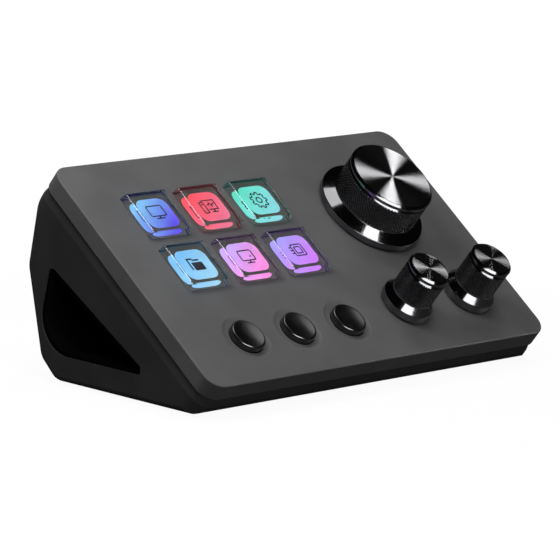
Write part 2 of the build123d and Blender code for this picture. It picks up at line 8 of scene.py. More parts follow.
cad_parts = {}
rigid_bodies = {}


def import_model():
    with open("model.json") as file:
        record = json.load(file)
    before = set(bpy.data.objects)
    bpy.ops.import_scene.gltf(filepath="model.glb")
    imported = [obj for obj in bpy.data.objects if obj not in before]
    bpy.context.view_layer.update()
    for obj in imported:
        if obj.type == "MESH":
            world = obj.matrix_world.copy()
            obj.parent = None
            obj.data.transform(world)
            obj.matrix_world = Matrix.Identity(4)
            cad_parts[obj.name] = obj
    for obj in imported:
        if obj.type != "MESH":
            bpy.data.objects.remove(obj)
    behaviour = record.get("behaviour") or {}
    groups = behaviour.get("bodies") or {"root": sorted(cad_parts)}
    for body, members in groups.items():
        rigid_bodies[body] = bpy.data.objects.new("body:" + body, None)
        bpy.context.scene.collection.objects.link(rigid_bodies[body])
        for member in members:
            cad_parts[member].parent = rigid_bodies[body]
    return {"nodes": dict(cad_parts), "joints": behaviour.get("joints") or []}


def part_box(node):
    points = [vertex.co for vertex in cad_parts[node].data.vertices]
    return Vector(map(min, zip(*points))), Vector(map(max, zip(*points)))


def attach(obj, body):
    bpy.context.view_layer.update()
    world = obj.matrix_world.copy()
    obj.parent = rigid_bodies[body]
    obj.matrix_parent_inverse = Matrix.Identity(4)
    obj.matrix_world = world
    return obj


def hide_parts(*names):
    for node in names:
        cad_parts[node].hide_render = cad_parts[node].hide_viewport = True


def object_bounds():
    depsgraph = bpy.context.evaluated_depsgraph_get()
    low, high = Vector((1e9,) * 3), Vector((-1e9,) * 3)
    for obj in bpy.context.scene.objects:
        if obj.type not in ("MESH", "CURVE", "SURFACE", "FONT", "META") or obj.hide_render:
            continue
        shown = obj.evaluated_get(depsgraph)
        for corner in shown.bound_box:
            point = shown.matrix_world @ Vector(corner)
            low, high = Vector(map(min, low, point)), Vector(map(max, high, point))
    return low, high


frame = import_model()
cadLow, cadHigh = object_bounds()
nodes = frame["nodes"]
joints = {joint["name"]: joint for joint in frame["joints"]}
mm = 0.001

# The sloping face: across runs right, uphill runs up the slope, outward stands off it.
# A level is a height above it.
outward = Vector(joints["big_knob_spin"]["axis"]).normalized()
across = Vector((1, 0, 0))
uphill = outward.cross(across)
faceSpot = Vector(joints["big_knob_spin"]["pos_m"])


def faceMatrix(spot):
    # from millimetres round a spot on the face to the model's metres
    turn = Matrix((across, uphill, outward)).transposed().to_4x4()
    return Matrix.Translation(spot) @ turn @ Matrix.Scale(mm, 4)


def ontoFace(node):
    # the spot on the face right over or under the middle of a node
    low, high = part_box(node)
    middle = (low + high) / 2
    return middle - outward * (middle - faceSpot).dot(outward)


def paint(red, green, blue):
    # a colour as a paint chart gives it, 0 to 255, to the linear values that shaders take
    def linear(value):
        value /= 255
        return value / 12.92 if value <= 0.04045 else ((value + 0.055) / 1.055) ** 2.4
    return (linear(red), linear(green), linear(blue), 1)


# ---- materials

def newFinish(name, kind="ShaderNodeBsdfPrincipled"):
    material = bpy.data.materials.new(name)
    material.use_nodes = True
    tree = material.node_tree
    tree.nodes.clear()
    shader = tree.nodes.new(kind)
    end = tree.nodes.new("ShaderNodeOutputMaterial")
    tree.links.new(shader.outputs["BSDF"], end.inputs["Surface"])
    place = tree.nodes.new("ShaderNodeTexCoord").outputs["Object"]
    return material, tree, shader, place


def noise(tree, place, grain, detail=2.0):
    # a noise whose blobs are about one grain across, in millimetres
    node = tree.nodes.new("ShaderNodeTexNoise")
    node.inputs["Scale"].default_value = 1 / (grain * mm)
    node.inputs["Detail"].default_value = detail
    tree.links.new(place, node.inputs["Vector"])
    return node.outputs["Fac"]


def mapRange(tree, value, low, high, fromLow=0.35, fromHigh=0.65):
    node = tree.nodes.new("ShaderNodeMapRange")
    for socket, number in (("From Min", fromLow), ("From Max", fromHigh), ("To Min", low), ("To Max", high)):
        node.inputs[socket].default_value = number
    tree.links.new(value, node.inputs["Value"])
    return node.outputs["Result"]


def mixColours(tree, factor, first, second):
    node = tree.nodes.new("ShaderNodeMix")
    node.data_type = "RGBA"
    node.inputs["A"].default_value = first
    node.inputs["B"].default_value = second
    tree.links.new(factor, node.inputs["Factor"])
    return node.outputs["Result"]


def bump(tree, shader, height, depth):
    node = tree.nodes.new("ShaderNodeBump")
    node.inputs["Distance"].default_value = depth * mm
    tree.links.new(height, node.inputs["Height"])
    tree.links.new(node.outputs["Normal"], shader.inputs["Normal"])


def maths(tree, operation, *values):
    node = tree.nodes.new("ShaderNodeMath")
    node.operation = operation
    for socket, value in zip(node.inputs, values):
        if isinstance(value, (int, float)):
            socket.default_value = value
        else:
            tree.links.new(value, socket)
    return node.outputs[0]


def vectorMaths(tree, operation, *values, result="Vector"):
    node = tree.nodes.new("ShaderNodeVectorMath")
    node.operation = operation
    for socket, value in zip(node.inputs, values):
        if isinstance(value, (tuple, Vector)):
            socket.default_value = value
        else:
            tree.links.new(value, socket)
    return node.outputs[result]


def mouldedPlastic(name, dark, light, rough=(0.45, 0.55), grain=0.25, depth=0.012, gloss=0.5):
    # spark-textured moulding: a fine grain, and a slow drift of colour and roughness
    material, tree, shader, place = newFinish(name)
    drift = noise(tree, place, 14.0)
    fine = noise(tree, place, grain, 3.0)
    tree.links.new(mixColours(tree, mapRange(tree, drift, 0, 1), dark, light), shader.inputs["Base Color"])
    tree.links.new(mapRange(tree, fine, *rough), shader.inputs["Roughness"])
    shader.inputs["Specular IOR Level"].default_value = gloss
    bump(tree, shader, fine, depth)
    return material


def plainMetal(name, dark, light, rough=(0.25, 0.35), grain=0.4, depth=0.004):
    material, tree, shader, place = newFinish(name)
    drift = noise(tree, place, 3.0)
    fine = noise(tree, place, grain, 3.0)
    tree.links.new(mixColours(tree, mapRange(tree, drift, 0, 1), dark, light), shader.inputs["Base Color"])
    tree.links.new(mapRange(tree, fine, *rough), shader.inputs["Roughness"])
    shader.inputs["Metallic"].default_value = 1.0
    bump(tree, shader, fine, depth)
    return material


coverPlastic = mouldedPlastic("coverPlastic", paint(79, 79, 80), paint(86, 86, 87),
                              (0.5, 0.62), 0.22, 0.008, 0.3)
shellPlastic = mouldedPlastic("shellPlastic", paint(52, 52, 53), paint(59, 59, 60),
                              (0.5, 0.62), 0.25, 0.01, 0.22)
pocketPlastic = mouldedPlastic("pocketPlastic", paint(4, 4, 4), paint(7, 7, 7), (0.7, 0.85), 0.3, 0.01, 0.05)
footRubber = mouldedPlastic("footRubber", paint(24, 24, 24), paint(36, 36, 36), (0.75, 0.9), 0.6, 0.03, 0.3)
ballastSteel = plainMetal("ballastSteel", paint(150, 150, 152), paint(176, 176, 178), (0.3, 0.45), 1.2, 0.01)
boardLaminate = mouldedPlastic("boardLaminate", paint(14, 62, 38), paint(20, 80, 50), (0.3, 0.4), 0.5, 0.006)
screwSteel = plainMetal("screwSteel", paint(140, 140, 145), paint(170, 170, 176))
blackSteel = plainMetal("blackSteel", paint(38, 38, 40), paint(52, 52, 55), (0.3, 0.45))
socketSteel = plainMetal("socketSteel", paint(165, 165, 166), paint(190, 190, 190), (0.2, 0.32))
ribbonFilm = mouldedPlastic("ribbonFilm", paint(210, 210, 204), paint(224, 224, 218), (0.4, 0.5), 0.8, 0.004)
connectorPlastic = mouldedPlastic("connectorPlastic", paint(205, 200, 184), paint(218, 213, 198),
                                  (0.4, 0.5), 0.4)
chipResin = mouldedPlastic("chipResin", paint(26, 26, 27), paint(34, 34, 35), (0.55, 0.7), 0.15, 0.008)
switchPlastic = mouldedPlastic("switchPlastic", paint(44, 44, 46), paint(54, 54, 56), (0.4, 0.5), 0.3)
carrierPlastic = mouldedPlastic("carrierPlastic", paint(18, 18, 19), paint(26, 26, 27), (0.5, 0.6), 0.3)
insertPlastic = mouldedPlastic("insertPlastic", paint(40, 40, 40), paint(50, 50, 50), (0.5, 0.6), 0.4)
shaftMetal = plainMetal("shaftMetal", paint(170, 170, 172), paint(190, 190, 192), (0.28, 0.38))
plungerPlastic = mouldedPlastic("plungerPlastic", paint(196, 192, 176), paint(206, 202, 188), (0.4, 0.5), 0.4)
bushingMetal = plainMetal("bushingMetal", paint(160, 160, 160), paint(182, 182, 182), (0.3, 0.42))

nodeFinishes = {
    "top_cover": coverPlastic,
    "bottom_shell": shellPlastic,
    "side_pocket_left": pocketPlastic,
    "side_pocket_right": pocketPlastic,
    "rubber_feet": footRubber,
    "ballast_plate": ballastSteel,
    "usb_board": boardLaminate,
    "usb_board_screws": screwSteel,
    "usb_c_socket": socketSteel,
    "board_ribbon": ribbonFilm,
    "ribbon_sockets": connectorPlastic,
    "main_board": boardLaminate,
    "board_screws": screwSteel,
    "case_screws": blackSteel,
    "board_chips": chipResin,
    "display_tail_sockets": connectorPlastic,
    "key_switches": switchPlastic,
    "button_switches": switchPlastic,
}
for number in range(1, 7):
    nodeFinishes[f"key_carrier_{number}"] = carrierPlastic
for side in ("big", "left", "right"):
    nodeFinishes[f"{side}_hub_insert"] = insertPlastic
    nodeFinishes[f"{side}_encoder_shaft"] = shaftMetal
    nodeFinishes[f"{side}_encoder_plunger"] = plungerPlastic
    nodeFinishes[f"{side}_encoder_bushing"] = bushingMetal
    nodeFinishes[f"{side}_encoder_base"] = chipResin
for name, material in nodeFinishes.items():
    node = nodes[name]
    if not node.material_slots:
        node.data.materials.append(material)
    for materialSlot in node.material_slots:
        materialSlot.material = material
print("case and inner pieces finished:", len(nodeFinishes))


# ---- mesh helpers, all in millimetres round a spot on the face

def circle(radius, level, steps):
    return [
        (radius * math.cos(2 * math.pi * i / steps), radius * math.sin(2 * math.pi * i / steps), level)
        for i in range(steps)
    ]


def roundedSquare(halfWide, halfLong, corner, level, steps=6):
    loop = []
    for quarter, (right, up) in enumerate(((1, 1), (-1, 1), (-1, -1), (1, -1))):
        for i in range(steps + 1):
            angle = math.pi / 2 * (quarter + i / steps)
            loop.append((
                right * (halfWide - corner) + corner * math.cos(angle),
                up * (halfLong - corner) + corner * math.sin(angle),
                level,
            ))
    return loop


def stack(bm, loops, slot=0):
    # a closed solid through a list of loops, from the lowest to the highest
    rings = [[bm.verts.new(point) for point in loop] for loop in loops]
    faces = []
    for lower, upper in zip(rings, rings[1:]):
        for i, corner in enumerate(lower):
            j = (i + 1) % len(lower)
            faces.append(bm.faces.new((corner, lower[j], upper[j], upper[i])))
    faces += [bm.faces.new(rings[0][::-1]), bm.faces.new(rings[-1])]
    for face in faces:
        face.material_index = slot


def softened(corners, steps=5):
    # a profile of (radius, level, rounding) with each corner turned in a small arc
    line = [corners[0][:2]]
    for before, here, after in zip(corners, corners[1:], corners[2:]):
        spot = Vector(here[:2])
        if not here[2]:
            line.append(here[:2])
            continue
        start = spot + (Vector(before[:2]) - spot).normalized() * here[2]
        end = spot + (Vector(after[:2]) - spot).normalized() * here[2]
        for i in range(steps + 1):
            t = i / steps
            line.append(tuple(start * (1 - t) ** 2 + spot * (2 * t * (1 - t)) + end * t ** 2))
    line.append(corners[-1][:2])
    return line


def newPiece(name, bm, matrix, finishes, sharp=28):
    bmesh.ops.transform(bm, matrix=matrix, verts=bm.verts)
    bmesh.ops.recalc_face_normals(bm, faces=bm.faces)
    mesh = bpy.data.meshes.new(name)
    bm.to_mesh(mesh)
    bm.free()
    for finish in finishes:
        mesh.materials.append(finish)
    mesh.shade_smooth()
    mesh.set_sharp_from_angle(angle=math.radians(sharp))
    piece = bpy.data.objects.new(name, mesh)
    bpy.context.scene.collection.objects.link(piece)
    return piece


# ---- picture keys

key = {
    "side": 14.7,            # clear cap at the face
    "topSide": 14.1,
    "height": 2.3,
    "corner": 0.2,
    "edge": 0.2,             # flat bevel round the top
    "foot": -2.55,           # lowest level of the clear block
    "panelSide": 12.7,
    "panelLow": -1.4,
    "panelTop": -0.75,
    "panelCorner": 0.8,
    "panelShift": (0.48, 0.28),
    "maskSide": 14.5,        # the dark film that hides the cap's foot
    "maskThick": 0.04,
    "maskGlowTint": 0.055,       # share of the tile's colours in the mask's glow, and grey besides: painted light for the tile's light spreading in the cap
    "maskGrey": 0.008,
    # glow of the display and mask films: painted light, not a lamp
    "filmGlow": 0.75,
    "tile": (10.9, 10.1),    # the lit part
    "tileCorner": 2.6,
    "tileThick": 0.05,
    "tileDim": 0.2,          # the tile's own colour under its light
    "tailWide": 5.0,
    "tailThick": 0.3,
    "tailOffset": 5.0,
    "tailLow": -10.8,
    "tailCorner": 0.05,
    "tailLap": 0.1,          # how far it runs up into the panel
    "lineWidth": 0.35,
    "lineThick": 0.03,
    "pictureGrow": 1.15,
}
tileColours = [              # each lit tile runs from its upper left to its lower right
    (paint(128, 190, 236), paint(92, 70, 226)),
    (paint(252, 84, 96), paint(230, 112, 142)),
    (paint(96, 222, 196), paint(134, 212, 220)),
    (paint(120, 190, 242), paint(156, 210, 240)),
    (paint(198, 168, 248), paint(250, 138, 218)),
    (paint(168, 158, 244), paint(206, 122, 250)),
]


def clearAcrylic(name, rough):
    material, tree, shader, place = newFinish(name)
    haze = noise(tree, place, 2.5, 3.0)
    tree.links.new(mapRange(tree, haze, *rough), shader.inputs["Roughness"])
    tree.links.new(mixColours(tree, mapRange(tree, haze, 0, 1), (0.93, 0.95, 0.97, 1), (0.97, 0.98, 0.99, 1)),
                   shader.inputs["Base Color"])
    shader.inputs["Transmission Weight"].default_value = 1.0
    shader.inputs["IOR"].default_value = 1.49
    return material


def unlitFilm(name, dark, light):
    # the display round its lit tile, glowing in its own colour: painted light for the lamp light that falls
    # on it through the cap
    material, tree, shader, place = newFinish(name)
    glowFilmDrift = noise(tree, place, 3.0)
    film = mixColours(tree, mapRange(tree, glowFilmDrift, 0, 1), dark, light)
    tree.links.new(film, shader.inputs["Base Color"])
    tree.links.new(film, shader.inputs["Emission Color"])
    # painted light: the film glows though it is no lamp
    shader.inputs["Emission Strength"].default_value = key["filmGlow"]
    shader.inputs["Roughness"].default_value = 0.4
    return material


def litTile(number, spot, start, end):
    # colours run across the tile, with a faint lamp-to-lamp unevenness
    material, tree, shader, place = newFinish(f"litTile{number}")
    fromSpot = vectorMaths(tree, "SUBTRACT", place, spot)
    along = vectorMaths(tree, "DOT_PRODUCT", fromSpot, (across - uphill).normalized(), result="Value")
    reach = 0.5 * key["tile"][0] * mm
    share = mapRange(tree, along, 0, 1, -reach, reach)
    glow = mixColours(tree, share, start, end)
    uneven = noise(tree, place, 4.0)
    tree.links.new(glow, shader.inputs["Emission Color"])
    tree.links.new(mapRange(tree, uneven, 0.92, 1.06), shader.inputs["Emission Strength"])
    dim = [[c * key["tileDim"] for c in colour[:3]] + [1] for colour in (start, end)]
    tree.links.new(mixColours(tree, share, *dim), shader.inputs["Base Color"])
    shader.inputs["Roughness"].default_value = 0.3
    return material


def stroke(bm, points, level, width, closed=False, slot=2):
    # a flat line of even width along some points, as a thin closed solid
    count = len(points)
    left, right = [], []
    for i, point in enumerate(points):
        here = Vector(point)
        before = Vector(points[i - 1]) if closed or i else here * 2 - Vector(points[1])
        after = here * 2 - before
        if closed or i < count - 1:
            after = Vector(points[(i + 1) % count])
        first, second = (here - before).normalized(), (after - here).normalized()
        across1, across2 = Vector((-first.y, first.x)), Vector((-second.y, second.x))
        mitre = (across1 + across2).normalized()
        mitre *= width / 2 / max(mitre.dot(across1), 0.5)
        left.append(here + mitre)
        right.append(here - mitre)
    steps = range(count if closed else count - 1)
    low, high = level, level + key["lineThick"]
    corners = {
        (side, height): [bm.verts.new((point.x, point.y, height)) for point in line]
        for side, line in (("left", left), ("right", right)) for height in (low, high)
    }
    for i in steps:
        j = (i + 1) % count
        quads = (
            (("left", high), ("right", high)), (("right", low), ("left", low)),
            (("left", low), ("left", high)), (("right", high), ("right", low)),
        )
        for one, other in quads:
            face = bm.faces.new((corners[one][i], corners[other][i], corners[other][j], corners[one][j]))
            face.material_index = slot
    if not closed:
        for i in (0, count - 1):
            end = [corners[c][i] for c in (("left", low), ("left", high), ("right", high), ("right", low))]
            bm.faces.new(end).material_index = slot


def frameLine(bm, middle, wide, tall, corner, level, width):
    loop = roundedSquare(wide / 2, tall / 2, corner, 0, 3)
    stroke(bm, [(x + middle[0], y + middle[1]) for x, y, _ in loop], level, width, True)


def plate(bm, middle, wide, tall, corner, low, high, slot=2):
    loops = [
        [(x + middle[0], y + middle[1], level) for x, y, _ in roundedSquare(wide / 2, tall / 2, corner, 0, 4)]
        for level in (low, high)
    ]
    stack(bm, loops, slot)


def monitorPicture(bm, level, width):
    frameLine(bm, (0, 0.7), 4.6, 3.1, 0.35, level, width)
    stroke(bm, [(0, -0.9), (0, -1.55)], level, width * 1.4)
    stroke(bm, [(-1.35, -1.6), (1.35, -1.6)], level, width)


def computerPicture(bm, level, width):
    frameLine(bm, (-1.75, -0.2), 1.35, 3.3, 0.2, level, width)
    stroke(bm, [(-2.1, 0.75), (-1.4, 0.75)], level, width)
    stroke(bm, [(-1.75, -1.1), (-1.75, -1.25)], level, width * 1.3)
    stroke(bm, [(-1.6, 1.9), (2.35, 1.9), (2.35, -0.9), (-0.55, -0.9)], level, width)
    stroke(bm, [(-0.4, 0.5), (0.2, 0.5), (0.55, 1.15), (0.95, -0.1), (1.3, 0.75), (1.9, 0.75)], level, width)
    stroke(bm, [(0.9, -0.9), (0.9, -1.6)], level, width * 1.4)
    stroke(bm, [(0.0, -1.7), (1.9, -1.7)], level, width)


def gearPicture(bm, level, width):
    teeth, inner, outer, hub = 9, 1.95, 2.45, 0.8
    rim = []
    for tooth in range(teeth):
        for share, radius in ((-0.30, inner), (-0.17, outer), (0.17, outer), (0.30, inner)):
            angle = 2 * math.pi * (tooth + share) / teeth
            rim.append((radius * math.cos(angle), radius * math.sin(angle)))
    stroke(bm, rim, level, width, True)
    stroke(bm, [point[:2] for point in circle(hub, 0, 20)], level, width, True)


def folderPicture(bm, level, width):
    plate(bm, (0.45, -0.55), 3.3, 2.4, 0.25, level, level + key["lineThick"])
    edge = [(-1.6, -1.2), (-1.9, -1.2), (-1.9, 1.75), (-0.55, 1.75), (-0.2, 1.3), (1.6, 1.3)]
    stroke(bm, edge, level, width * 1.3)


def screenPicture(bm, level, width):
    frameLine(bm, (0, 0.55), 4.2, 3.0, 0.45, level, width)
    stroke(bm, [(0.7, 0.2), (1.3, 0.2)], level, width)
    stroke(bm, [(0, -1.0), (0, -1.65)], level, width * 1.4)
    stroke(bm, [(-1.2, -1.7), (1.2, -1.7)], level, width)


def chipPicture(bm, level, width):
    frameLine(bm, (0.3, 0), 3.4, 3.4, 0.4, level, width)
    frameLine(bm, (0.3, 0), 1.9, 1.9, 0.2, level, width)
    for row in (-0.9, 0, 0.9):
        stroke(bm, [(-2.3, row), (-1.4, row)], level, width)


acrylic = clearAcrylic("clearAcrylic", (0.0, 0.035))
acrylicEdge = clearAcrylic("acrylicEdge", (0.16, 0.2))
# the display's surround, which glows faintly: painted light
panelFilm = unlitFilm("unlitFilm", paint(52, 52, 49), paint(60, 60, 57))
pictureInk = mouldedPlastic("pictureInk", paint(26, 28, 40), paint(34, 36, 50), (0.5, 0.6), 0.5, 0.002)
pictures = (monitorPicture, computerPicture, gearPicture, folderPicture, screenPicture, chipPicture)
for number, picture in enumerate(pictures, 1):
    spot = ontoFace(f"key_cap_{number}")
    body = f"picture_key_{number}"
    bm = bmesh.new()
    half, top = key["side"] / 2, key["topSide"] / 2
    loops = [roundedSquare(half, half, key["corner"], level) for level in (key["foot"], 0)]
    for inset, drop in ((0, key["edge"]), (key["edge"], 0)):
        loops.append(roundedSquare(top - inset, top - inset, key["corner"], key["height"] - drop))
    stack(bm, loops)
    bevelLow, bevelHigh = key["height"] - key["edge"], key["height"] - key["edge"] / 20
    for face in bm.faces:
        if bevelLow < face.calc_center_median().z < bevelHigh:
            face.material_index = 1
    cap = newPiece(f"clearCap{number}", bm, faceMatrix(spot), [acrylic, acrylicEdge], 30)
    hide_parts(f"key_cap_{number}")
    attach(cap, body)

    bm = bmesh.new()
    panel = {"wide": key["panelSide"], "tall": key["panelSide"], "corner": key["panelCorner"]}
    plate(bm, (0, 0), **panel, low=key["panelLow"], high=key["panelTop"], slot=0)
    tileTop = key["panelTop"] + key["tileThick"]
    plate(bm, (0, 0), *key["tile"], key["tileCorner"], key["panelTop"] - key["tileThick"], tileTop, 1)
    drawn = len(bm.verts)
    picture(bm, tileTop - key["lineThick"] / 2, key["lineWidth"])
    bm.verts.ensure_lookup_table()
    bmesh.ops.scale(bm, vec=(key["pictureGrow"], key["pictureGrow"], 1), verts=bm.verts[drawn:])
    bmesh.ops.translate(bm, vec=(*key["panelShift"], 0), verts=bm.verts)
    maskTop = key["panelTop"] - 2 * key["maskThick"]
    plate(bm, (0, 0), key["maskSide"], key["maskSide"], key["corner"], maskTop - key["maskThick"], maskTop, 3)
    tail = {"middle": (0, key["tailOffset"]), "wide": key["tailWide"], "tall": key["tailThick"],
            "corner": key["tailCorner"]}
    plate(bm, **tail, low=key["tailLow"], high=key["panelLow"] + key["tailLap"], slot=0)
    tile = litTile(number, spot, *tileColours[number - 1])
    # the mask glows in a share of the tile's colours and grey: painted light
    maskGlowColours = [[c * key["maskGlowTint"] + key["maskGrey"] for c in colour[:3]] + [1]
             for colour in tileColours[number - 1]]
    mask = unlitFilm(f"maskFilm{number}", *maskGlowColours)
    display = newPiece(f"litPicture{number}", bm, faceMatrix(spot), [panelFilm, tile, pictureInk, mask])
    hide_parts(f"key_display_{number}")
    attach(display, body)
print("picture keys made:", len(pictures))


# ---- round buttons

button = {
    "radius": 4.94,
    "height": 1.4,
    "rim": 0.42,             # rounding round the top
    "dish": 0.3,             # how far the top is hollowed
    "flange": 6.0,
    "flangeTop": -2.6,
    "flangeLow": -3.6,
    "stem": 1.7,
    "stemLow": -7.2,
    "steps": 96,
    "rimSteps": 7,
    "dishSteps": 14,
}


def buttonPlastic():
    material, tree, shader, place = newFinish("buttonPlastic")
    smear = noise(tree, place, 5.0, 4.0)
    tree.links.new(mixColours(tree, mapRange(tree, smear, 0, 1), paint(7, 7, 7), paint(11, 11, 11)),
                   shader.inputs["Base Color"])
    tree.links.new(mapRange(tree, smear, 0.16, 0.22), shader.inputs["Roughness"])
    shader.inputs["Specular IOR Level"].default_value = 1.0
    bump(tree, shader, noise(tree, place, 0.3), 0.0015)
    return material


buttonFinish = buttonPlastic()
for number in range(1, 4):
    bm = bmesh.new()
    flatRadius = button["radius"] - button["rim"]
    profile = [
        (button["stem"], button["stemLow"]), (button["stem"], button["flangeLow"]),
        (button["flange"], button["flangeLow"]), (button["flange"], button["flangeTop"]),
        (button["radius"], button["flangeTop"]), (button["radius"], 0),
    ]
    for i in range(button["rimSteps"] + 1):
        turn = math.pi / 2 * i / button["rimSteps"]
        profile.append((flatRadius + button["rim"] * math.cos(turn),
                        button["height"] - button["rim"] * (1 - math.sin(turn))))
    for i in range(1, button["dishSteps"]):
        share = 1 - i / button["dishSteps"]
        profile.append((flatRadius * share, button["height"] - button["dish"] * (1 - share ** 2)))
    stack(bm, [circle(radius, level, button["steps"]) for radius, level in profile])
    piece = newPiece(f"roundButton{number}", bm, faceMatrix(ontoFace(f"button_{number}")), [buttonFinish], 50)
    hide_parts(f"button_{number}")
    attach(piece, f"round_button_{number}")
print("round buttons made")


# ---- knobs

knobs = {
    "big": {"flange": 15.5, "grip": 12.5, "height": 13.8, "rim": 1.8, "bevel": 1.6, "core": 8.0,
            "around": 82, "rows": 13, "steps": 192, "spunRough": (0.43, 0.46)},
    "left": {"flange": 7.4, "grip": 6.05, "height": 14.4, "rim": 2.05, "bevel": 1.85, "core": 4.3,
             "around": 57, "rows": 17, "steps": 128, "spunRough": (0.255, 0.262)},
    "right": {"flange": 7.4, "grip": 6.05, "height": 14.4, "rim": 2.05, "bevel": 1.85, "core": 4.3,
              "around": 57, "rows": 17, "steps": 128, "spunRough": (0.255, 0.262)},
}
knobCut = {
    "lift": 0.6,             # flange above the face
    "hollow": 1.8,           # metal over the hollow
    "chamfer": 0.6,
    "collar": 1.2,           # plain band over the groove
    "grooveWide": 0.5,
    "grooveDeep": 0.6,       # its lower side slopes back out to the grip
    "spunInset": 0.15,
    "spunDeep": 0.15,
    "knurlDeep": 0.2,
    "knurlLow": 0.2,         # plain root between the bevel and the knurl
    "knurlSink": 0.02,       # how deep its teeth sit in the root
    "ringWide": 0.12,        # turning rings of the spun top
    "ringSmear": 0.75,
    "coreRound": 0.15,       # roundings of the turned edges
    "flangeRound": 0.2,
    "bevelRound": 0.12,
    "gripRound": 0.08,
    "fineRound": 0.05,
}


def blackAnodised(name, rough, dark, light):
    material, tree, shader, place = newFinish(name)
    wear = noise(tree, place, 6.0, 3.0)
    tree.links.new(mixColours(tree, mapRange(tree, wear, 0, 1), dark, light),
                   shader.inputs["Base Color"])
    shader.inputs["Metallic"].default_value = 1.0
    tree.links.new(mapRange(tree, noise(tree, place, 0.5), *rough), shader.inputs["Roughness"])
    bump(tree, shader, noise(tree, place, 0.2), 0.0006)
    return material


def spunMetal(name, spot, rough):
    # fine turning rings round the knob's axis: light smears across them, so the tangent runs along them
    material, tree, shader, place = newFinish(name, "ShaderNodeBsdfAnisotropic")
    shader.distribution = "BECKMANN"
    around = vectorMaths(tree, "CROSS_PRODUCT", outward, vectorMaths(tree, "SUBTRACT", place, spot))
    rings = tree.nodes.new("ShaderNodeTexNoise")
    rings.noise_dimensions = "1D"
    rings.inputs["Scale"].default_value = 1 / (knobCut["ringWide"] * mm)
    rings.inputs["Detail"].default_value = 3.0
    tree.links.new(vectorMaths(tree, "LENGTH", around, result="Value"), rings.inputs["W"])
    tree.links.new(mapRange(tree, rings.outputs["Fac"], *rough), shader.inputs["Roughness"])
    tree.links.new(mixColours(tree, mapRange(tree, rings.outputs["Fac"], 0, 1), paint(214, 214, 216),
                              paint(228, 228, 230)), shader.inputs["Color"])
    tree.links.new(around, shader.inputs["Tangent"])
    shader.inputs["Anisotropy"].default_value = knobCut["ringSmear"]
    return material


def knurlTree(metal):
    # diamonds in staggered rows round an axis; each is a small closed pyramid pointing outwards
    tree = bpy.data.node_groups.new("diamondKnurl", "GeometryNodeTree")
    tree.interface.new_socket("Geometry", in_out="OUTPUT", socket_type="NodeSocketGeometry")
    for name, kind in (("Around", "Int"), ("Rows", "Int"), ("Radius", "Float"), ("Low", "Float"),
                       ("High", "Float"), ("Depth", "Float")):
        tree.interface.new_socket(name, in_out="INPUT", socket_type=f"NodeSocket{kind}")
    sizes = tree.nodes.new("NodeGroupInput").outputs

    def sums(operation, *values):
        return maths(tree, operation, *values)

    def combine(*parts):
        node = tree.nodes.new("ShaderNodeCombineXYZ")
        for socket, value in zip(node.inputs, parts):
            if isinstance(value, (int, float)):
                socket.default_value = value
            else:
                tree.links.new(value, socket)
        return node.outputs[0]

    index = tree.nodes.new("GeometryNodeInputIndex").outputs[0]
    row = sums("FLOOR", sums("DIVIDE", index, sizes["Around"]))
    stagger = sums("MULTIPLY", sums("MODULO", row, 2), 0.5)
    turnStep = sums("DIVIDE", 2 * math.pi, sizes["Around"])
    angle = sums("MULTIPLY", sums("ADD", index, stagger), turnStep)
    rowStep = sums("DIVIDE", sums("SUBTRACT", sizes["High"], sizes["Low"]), sums("ADD", sizes["Rows"], 1))
    level = sums("ADD", sizes["Low"], sums("MULTIPLY", rowStep, sums("ADD", row, 1)))
    place = combine(sums("MULTIPLY", sizes["Radius"], sums("COSINE", angle)),
                    sums("MULTIPLY", sizes["Radius"], sums("SINE", angle)), level)
    halfWide = sums("MULTIPLY", sizes["Radius"], sums("MULTIPLY", turnStep, 0.5))

    points = tree.nodes.new("GeometryNodePoints")
    tree.links.new(sums("MULTIPLY", sizes["Around"], sizes["Rows"]), points.inputs["Count"])
    tree.links.new(place, points.inputs["Position"])
    diamond = tree.nodes.new("GeometryNodeMeshCone")
    diamond.fill_type = "NGON"
    diamond.inputs["Vertices"].default_value = 4
    diamond.inputs["Radius Top"].default_value = 0
    diamond.inputs["Radius Bottom"].default_value = 1
    diamond.inputs["Depth"].default_value = 1
    spread = tree.nodes.new("GeometryNodeInstanceOnPoints")
    tree.links.new(points.outputs[0], spread.inputs["Points"])
    tree.links.new(diamond.outputs["Mesh"], spread.inputs["Instance"])
    tree.links.new(combine(0.0, math.pi / 2, angle), spread.inputs["Rotation"])
    tree.links.new(combine(rowStep, halfWide, sizes["Depth"]), spread.inputs["Scale"])
    real = tree.nodes.new("GeometryNodeRealizeInstances")
    tree.links.new(spread.outputs[0], real.inputs[0])
    coat = tree.nodes.new("GeometryNodeSetMaterial")
    coat.inputs["Material"].default_value = metal
    tree.links.new(real.outputs[0], coat.inputs["Geometry"])
    end = tree.nodes.new("NodeGroupOutput")
    tree.links.new(coat.outputs[0], end.inputs[0])
    return tree


def fromTree(name, tree, sizes, matrix):
    # runs a node tree on an empty mesh and keeps the result as one plain mesh
    maker = bpy.data.objects.new(name + "Maker", bpy.data.meshes.new(name + "Maker"))
    bpy.context.scene.collection.objects.link(maker)
    modifier = maker.modifiers.new("nodes", "NODES")
    modifier.node_group = tree
    for item in tree.interface.items_tree:
        if item.in_out == "INPUT":
            modifier[item.identifier] = sizes[item.name]
    made = bpy.data.meshes.new_from_object(maker.evaluated_get(bpy.context.evaluated_depsgraph_get()))
    made.name = name
    made.transform(matrix)
    bpy.data.objects.remove(maker)
    piece = bpy.data.objects.new(name, made)
    bpy.context.scene.collection.objects.link(piece)
    return piece


